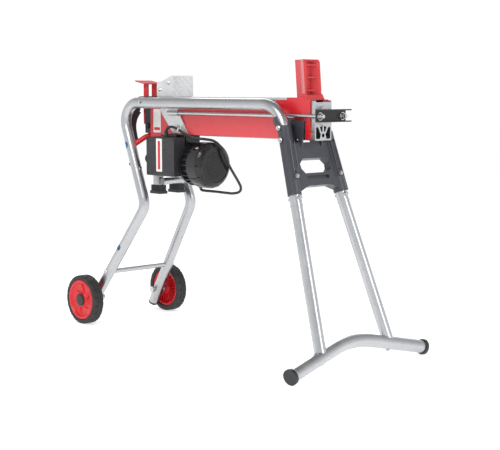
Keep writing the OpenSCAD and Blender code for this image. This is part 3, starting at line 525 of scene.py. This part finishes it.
def make_wheel(name, side, body, skins):
    """side is -1 for the near wheel and 1 for the far one."""
    def place(r, angle, depth):
        y = side * (WHEEL_OUT - WHEEL_WIDTH + depth)
        return at(AXLE[0] + r * math.cos(angle), y, AXLE[1] + r * math.sin(angle))

    def tread(r, depth, k):
        """Cuts gaps between the lugs of both shoulders, half a pitch apart."""
        phase = (k + (LUG_STEPS // 2 if depth > WHEEL_WIDTH / 2 else 0)) % LUG_STEPS
        on_shoulder = r > LUG_FLOOR and not LUG_DEPTHS[0] <= depth <= LUG_DEPTHS[1]
        return r - LUG_CUT if on_shoulder and phase < LUG_GAP_STEPS else r

    tyre = bmesh.new()
    lathe(tyre, TYRE_OUTLINE, TREAD_STEPS, place, tread)
    add_piece("tyre_" + name, tyre, skins["tyre_rubber"], body, "wheel_tyre_" + name)

    rim = bmesh.new()
    lathe(rim, RIM_OUTLINE, RIM_STEPS, place)
    for k in range(SPOKES):
        sections = []
        for j in range(11):
            t = j / 10
            r = 25 + 31 * t
            turn = 2 * math.pi * k / SPOKES + math.radians(SPOKE_SWEEP) * t
            half = 1.6 + 2.6 * t
            face = 31 + 3 * t
            rise = 3.4 * math.sin(math.pi * (0.15 + 0.75 * t))
            sections.append([
                place(r, turn - half / r, face - 2), place(r, turn - half * 0.4 / r, face + rise),
                place(r, turn + half * 0.4 / r, face + rise * 0.8), place(r, turn + 2.2 * half / r, face - 2),
            ])
        loft(rim, sections)
    for k in range(INNER_RIBS):
        turn = 2 * math.pi * (k + 0.5) / INNER_RIBS
        sections = []
        for r, low in ((21, 7), (38, 10), (56.5, 13)):
            half = 0.9 / r
            sections.append([
                place(r, turn - half, low), place(r, turn + half, low),
                place(r, turn + half * 1.4, 21.5), place(r, turn - half * 1.4, 21.5),
            ])
        loft(rim, sections)
    add_piece("rim_" + name, rim, skins["red_plastic"], body, "wheel_rim_" + name)


# ---- Pusher face ----

HEAD_HALF = 46
HEAD_Z = (801, 870)
HEAD_MARGIN = 4
TREAD_PITCH = 12.5
LOZENGE_HALF = (0.0070, 0.0021)
LOZENGE_STEPS = 12


def make_tread_plate(skin):
    """Raised lozenges in two directions over the pusher's face."""
    mesh = bmesh.new()
    rows = int((HEAD_Z[1] - HEAD_Z[0] - 2 * HEAD_MARGIN) / TREAD_PITCH) + 1
    columns = int((2 * HEAD_HALF - 2 * HEAD_MARGIN) / TREAD_PITCH) + 1
    for i in range(rows):
        for j in range(columns):
            y = (j - (columns - 1) / 2) * TREAD_PITCH
            z = (HEAD_Z[0] + HEAD_Z[1]) / 2 + (i - (rows - 1) / 2) * TREAD_PITCH
            tilt = math.radians(45 if (i + j) % 2 else -45)
            along = Y_AXIS * math.cos(tilt) + Z_AXIS * math.sin(tilt)
            across = Z_AXIS * math.cos(tilt) - Y_AXIS * math.sin(tilt)
            sections = []
            for share, lift in ((1.0, -0.2), (0.8, 0.75), (0.45, 1.1)):
                half_along, half_across = LOZENGE_HALF[0] * share, LOZENGE_HALF[1] * share
                sections.append([
                    at(lift, y, z) + along * (half_along * math.cos(w)) + across * (half_across * math.sin(w))
                    for w in (2 * math.pi * n / LOZENGE_STEPS for n in range(LOZENGE_STEPS))
                ])
            loft(mesh, sections)
    add_piece("tread_lozenges", mesh, skin, "ram")


# ---- Switch box ----

BOX_X = (-90, 57)
BOX_Z = (534, 664)
BOX_FACE = -88
RIB_SPANS = ((-85, -41), (-2, 52))
RIB_PITCH = 6
RIB_COUNT = 19
LID_LABEL = (-21.5, 604)
PANEL_LABEL = (-94, 717)
PANEL_BAND_Z = 690
PANEL_FACE = -37.3
LABEL_LIFT = 0.3


def make_box_ribs(skin):
    """Fine moulded ribs along the lid, either side of the label."""
    mesh = bmesh.new()
    for low, high in RIB_SPANS:
        for k in range(RIB_COUNT):
            z = BOX_Z[0] + 11 + k * RIB_PITCH
            pad(
                mesh, at((low + high) / 2, BOX_FACE, z), X_AXIS, Z_AXIS, -Y_AXIS,
                ((high - low) / 1000, 0.0026), 0.0007, 0.0012, steps=2,
            )
    add_piece("lid_ribs", mesh, skin, "stand")


def make_labels(skins):
    """Blank labels: one up the lid, one near the rear end of the side panel, and their red bands."""
    lid_x, lid_z = LID_LABEL
    panel_x, panel_z = PANEL_LABEL
    facing = (X_AXIS, Z_AXIS, -Y_AXIS)
    white = bmesh.new()
    pad(white, at(lid_x, BOX_FACE, lid_z), *facing, (0.031, 0.111), 0.0003, 0.002)
    pad(white, at(panel_x, PANEL_FACE, panel_z), *facing, (0.040, 0.080), 0.0003, 0.003)
    add_piece("labels", white, skins["label_white"], "stand")
    band = bmesh.new()
    pad(band, at(lid_x, BOX_FACE - LABEL_LIFT, lid_z), *facing, (0.013, 0.096), 0.0002, 0.003)
    pad(band, at(panel_x, PANEL_FACE - LABEL_LIFT, PANEL_BAND_Z), *facing, (0.032, 0.010), 0.0002, 0.002)
    add_piece("label_bands", band, skins["red_paint"], "stand")


# ---- Motor and pump ----

MOTOR_Z = 574
COVER_END = 165
COVER_RADIUS = 77
COVER_RING = [(56, 162.5), (57, 166.4), (59, 166.8), (61, 166), (62, 162)]
LOUVRE_REACH = 46
LOUVRE_PITCH = (10, 6)
BADGE_X = 133
BADGE_ANGLE = 132
BADGE_STEPS = 32
BADGE_ROWS = 6
BADGES = (("badge_red", "red_paint", (15, 9), 0.2), ("badge_white", "label_white", (9, 4.6), 0.5))
PLUG_AT = (30, -30, 640)


def make_grille(skin):
    """Rows of short louvres on the end of the fan cover, inside a raised ring."""
    mesh = bmesh.new()

    def place(r, angle, x):
        return at(x, r * math.cos(angle), MOTOR_Z + r * math.sin(angle))

    lathe(mesh, COVER_RING, 96, place)
    for row in range(-7, 8):
        z = row * LOUVRE_PITCH[1]
        reach = math.sqrt(LOUVRE_REACH ** 2 - z ** 2)
        for column in range(-4, 5):
            y = column * LOUVRE_PITCH[0]
            if abs(y) + 4 > reach:
                continue
            pad(
                mesh, at(COVER_END, y, MOTOR_Z + z), Y_AXIS, Z_AXIS, X_AXIS, (0.0078, 0.0022), 0.0013,
                0.001, steps=2,
            )
    add_piece("cover_louvres", mesh, skin, "stand")


def make_badge(skins):
    """A blank red oval with a white middle, wrapped on the fan cover's near shoulder."""
    for name, skin, size, lift in BADGES:
        mesh = bmesh.new()
        radius = COVER_RADIUS + lift

        def wrap(x, arc):
            angle = math.radians(BADGE_ANGLE) + arc / radius
            return at(x, radius * math.cos(angle), MOTOR_Z + radius * math.sin(angle))

        turns = [2 * math.pi * n / BADGE_STEPS for n in range(BADGE_STEPS)]
        centre = mesh.verts.new(wrap(BADGE_X, 0))
        rings = []
        for k in range(1, BADGE_ROWS + 1):
            half_x, half_arc = size[0] * k / BADGE_ROWS, size[1] * k / BADGE_ROWS
            rings.append([
                mesh.verts.new(wrap(BADGE_X + half_x * math.cos(w), half_arc * math.sin(w))) for w in turns
            ])
        for n in range(BADGE_STEPS):
            m = (n + 1) % BADGE_STEPS
            mesh.faces.new((centre, rings[0][n], rings[0][m]))
            for a, b in zip(rings, rings[1:]):
                mesh.faces.new((a[n], b[n], b[m], a[m]))
        bmesh.ops.solidify(mesh, geom=list(mesh.faces), thickness=0.0002)
        add_piece(name, mesh, skins[skin], "stand")


FOOT_X = (-110, -60)
FOOT_Y = (27, 53)
FOOT_RIB_Z = 488
FOOT_RIB = (0.0026, 0.018)


def make_foot_ribs(skin):
    """Moulded ribs down the sides of the rubber feet."""
    mesh = bmesh.new()
    for side in (-1, 1):
        near, far = sorted((side * FOOT_Y[0], side * FOOT_Y[1]))
        for k in range(8):
            x = FOOT_X[0] + 5 + k * (FOOT_X[1] - FOOT_X[0] - 10) / 7
            for y, out in ((near, -Y_AXIS), (far, Y_AXIS)):
                pad(mesh, at(x, y, FOOT_RIB_Z), X_AXIS, Z_AXIS, out, FOOT_RIB, 0.0012, 0.001, steps=2)
        for k in range(4):
            y = near + 4 + k * (far - near - 8) / 3
            for x, out in ((FOOT_X[0], -X_AXIS), (FOOT_X[1], X_AXIS)):
                pad(mesh, at(x, y, FOOT_RIB_Z), Y_AXIS, Z_AXIS, out, FOOT_RIB, 0.0012, 0.001, steps=2)
    add_piece("foot_ribs", mesh, skin, "stand")


def make_pump_plug(skins):
    """A round plug with a sunk middle on the pump's near flank."""
    plug = bmesh.new()
    x, y, z = PLUG_AT

    def place(r, angle, depth):
        return at(x + r * math.cos(angle), y - depth, z + r * math.sin(angle))

    lathe(plug, [(0.01, 0), (13, 0), (13, 4), (12, 5.4), (8, 5.4), (7, 3.4), (0.01, 3.4)], 48, place)
    add_piece("pump_plug", plug, skins["zinc"], "stand")


TIE_AT = (44, -56, 689.5)
TIE_AXIS = (0.95, 0.14, -0.28)


def make_tie(skins):
    """A cable tie round the lead above the switch box, with its lock and its tail."""
    mesh = bmesh.new()
    middle = at(*TIE_AT)
    axis = Vector(TIE_AXIS).normalized()
    side = axis.cross(Z_AXIS).normalized()
    up = side.cross(axis)

    def place(r, angle, depth):
        return middle + axis * (depth / 1000) + (side * math.cos(angle) + up * math.sin(angle)) * (r / 1000)

    lathe(mesh, [(4.4, -1.8), (5.8, -1.8), (5.8, 1.8), (4.4, 1.8)], 32, place)
    pad(mesh, middle - side * 0.0055, axis, up, -side, (0.006, 0.006), 0.005, 0.001)
    pad(mesh, middle - side * 0.007 + up * 0.009, axis, up, -side, (0.0032, 0.020), 0.0012, 0.001)
    add_piece("cable_tie", mesh, skins["label_white"], "stand")


# ---- Bracket pads ----

SLEEVE_TOP, SLEEVE_FOOT = (552, -78, 778.6), (641, -101.5, 495)
STRIP_Z = (563, 665)
STRIP_FACE = 22
STRIP_HALF = 0.0091
HATCH_START = 16
HATCH_PITCH = 8.5


def square_to(v, d):
    """The unit vector nearest to v that is square to d."""
    return (v - d * v.dot(d)).normalized()


def make_hatching(skins):
    """Diagonal ribs, lightened as a painted highlight, in a bordered panel painted dark as shade, down the
    front of each bracket sleeve.
    """
    floor, ribs = bmesh.new(), bmesh.new()
    for side in (-1, 1):
        top, foot = (at(x, -side * y, z) for x, y, z in (SLEEVE_TOP, SLEEVE_FOOT))
        down = (foot - top).normalized()
        out = square_to(X_AXIS, down)
        across = out.cross(down)
        per_height = 1 / 1000 / -down.z
        low_end = top + down * ((SLEEVE_TOP[2] - STRIP_Z[0]) * per_height) + out * (STRIP_FACE / 1000)
        length = (STRIP_Z[1] - STRIP_Z[0]) * per_height
        middle = low_end - down * (length / 2 + 0.006)
        pad(floor, middle, across, down, out, (0.0196, length - 0.013), 0.0009, 0.002)
        for k in (-1, 1):
            edge = middle + across * (k * STRIP_HALF)
            pad(ribs, edge, across, down, out, (0.0020, length - 0.012), 0.0026, 0.0008)
        slope = (across * 0.72 + down * 0.69).normalized()
        slope_up = out.cross(slope)
        for k in range(int(length * 1000 / HATCH_PITCH) - 1):
            place = low_end - down * ((HATCH_START + k * HATCH_PITCH) / 1000)
            pad(ribs, place, slope, slope_up, out, (0.0215, 0.0026), 0.0020, 0.0010, steps=2)
    add_piece("hatch_floor", floor, skins["hatch_dark"], "stand")
    # The ribs carry a painted highlight: they are lighter than the casting where they catch the light.
    add_piece("hatch_ribs", ribs, skins["hatch_lit"], "stand")


# ---- Small hardware ----

GUARD_SCREW = (-101, 109.8, 782)
LID_SCREW_INSET = (8, 7)


def pan_head(mesh, place, out, radius, height):
    """A round screw head with a shallow socket, out in metres along a unit vector."""
    side = out.orthogonal().normalized()
    up = out.cross(side)

    def point(r, angle, depth):
        return place + out * (depth / 1000) + (side * math.cos(angle) + up * math.sin(angle)) * (r / 1000)

    lathe(mesh, [
        (0.01, 0), (radius, 0), (radius, height * 0.45), (radius * 0.8, height * 0.85),
        (radius * 0.5, height), (radius * 0.42, height * 0.5), (0.01, height * 0.5),
    ], 24, point)


def make_screws(skins):
    """Screws through the rails into the guard, and on the switch box's lid."""
    mesh = bmesh.new()
    x, y, z = GUARD_SCREW
    for side in (-1, 1):
        pan_head(mesh, at(x, side * y, z), Vector((0, side, 0)), 6.5, 4)
    add_piece("guard_screws", mesh, skins["zinc"], "stand")
    lid = bmesh.new()
    inset_x, inset_z = LID_SCREW_INSET
    for x in (BOX_X[0] + inset_x, BOX_X[1] - inset_x):
        for z in (BOX_Z[0] + inset_z, BOX_Z[1] - inset_z):
            pan_head(lid, at(x, BOX_FACE, z), -Y_AXIS, 3.6, 1.6)
    add_piece("lid_screws", lid, skins["black_plastic"], "stand")


REAR_CORNER, KNEE, WHEEL_END = (-226, -92, 778.6), (-79, -103, 428), (-356, -148, 36)
LEG_STICKERS = [(REAR_CORNER, KNEE, 0.41), (KNEE, WHEEL_END, 0.39)]
STICKER_REACH = 0.0125
STICKER_RADIUS = 0.0183


def make_stickers(skin):
    """Plain round stickers wrapped on the near rear leg."""
    mesh = bmesh.new()
    reach, radius, steps = STICKER_REACH, STICKER_RADIUS, 10
    for top, foot, share in LEG_STICKERS:
        top, foot = at(*top), at(*foot)
        axis = (foot - top).normalized()
        middle = top + (foot - top) * share
        out = square_to(Vector((-0.35, -1, 0)), axis)
        side = axis.cross(out)
        grid = {}
        for i in range(-steps, steps + 1):
            for j in range(-steps, steps + 1):
                u, v = reach * i / steps, reach * j / steps
                if u * u + v * v <= reach * reach * 1.02:
                    bend = v / radius
                    arc = out * (radius * math.cos(bend)) + side * (radius * math.sin(bend))
                    grid[i, j] = mesh.verts.new(middle + axis * u + arc)
        for i, j in grid:
            corners = [grid.get(k) for k in ((i, j), (i + 1, j), (i + 1, j + 1), (i, j + 1))]
            if all(corners):
                mesh.faces.new(corners)
    bmesh.ops.solidify(mesh, geom=list(mesh.faces), thickness=0.0003)
    add_piece("round_stickers", mesh, skin, "stand")


# ---- The scene ----

SKINS = {name: build().material for name, build in {**SLOTS, **EXTRA_SKINS}.items()}
make_camera()
make_light()
make_lead(SKINS["rubber"])
make_floor()
paint_frame(SKINS)
make_wheel("near", -1, "wheel_near", SKINS)
make_wheel("far", 1, "wheel_far", SKINS)
make_tread_plate(SKINS["galvanised"])
make_box_ribs(SKINS["slate_plastic"])
make_labels(SKINS)
make_grille(SKINS["black_paint"])
make_pump_plug(SKINS)
make_tie(SKINS)
make_screws(SKINS)
make_hatching(SKINS)
make_badge(SKINS)
make_foot_ribs(SKINS["rubber"])
make_stickers(SKINS["sticker_blue"])
